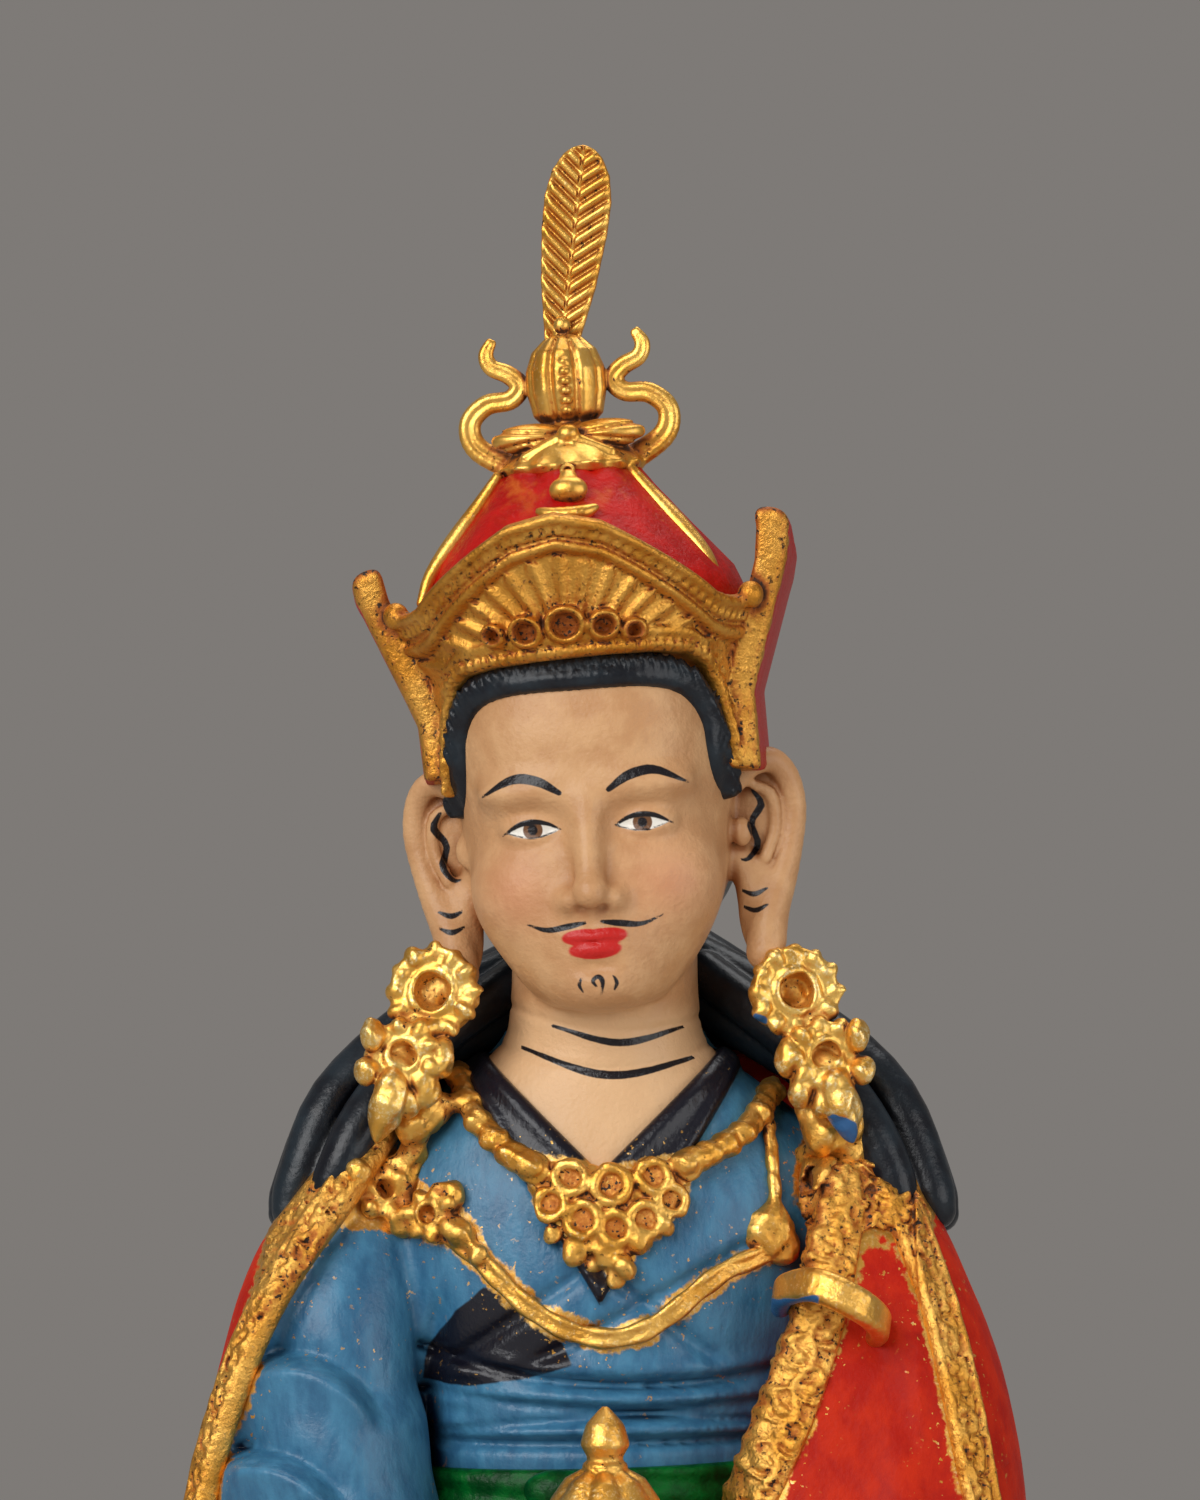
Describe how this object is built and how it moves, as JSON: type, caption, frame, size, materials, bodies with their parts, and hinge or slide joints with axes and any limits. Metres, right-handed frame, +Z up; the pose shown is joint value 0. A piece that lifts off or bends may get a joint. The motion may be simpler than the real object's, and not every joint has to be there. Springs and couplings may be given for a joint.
{
  "type": "guru rinpoche statue",
  "caption": "Painted and gilded cast statuette of a seated teacher in a lotus hat with a feather, with a strap for a staff at the left arm, on a double lotus base.",
  "frame": {"origin": "under the middle of the lotus base, on the surface it stands on", "axes": "+Z up through the head, the figure faces -Y and its left hand is at +X"},
  "size_m": [0.0776, 0.0582, 0.1302],
  "materials": {
    "blue_paint": "brushed satin paint over cast metal, dark in the folds",
    "gilding": "gold paint, bright on the raised edges and brown in the hollows",
    "skin_paint": "satin flesh paint with fine painted lines",
    "black_paint": "glossy blue-black paint",
    "red_paint": "satin red and orange-red paint",
    "green_paint": "glossy green paint"
  },
  "bodies": {
    "root": {"figure": "blue_paint", "staff_strap": "gilding", "lotus_base": "gilding"}
  },
  "joints": []
}
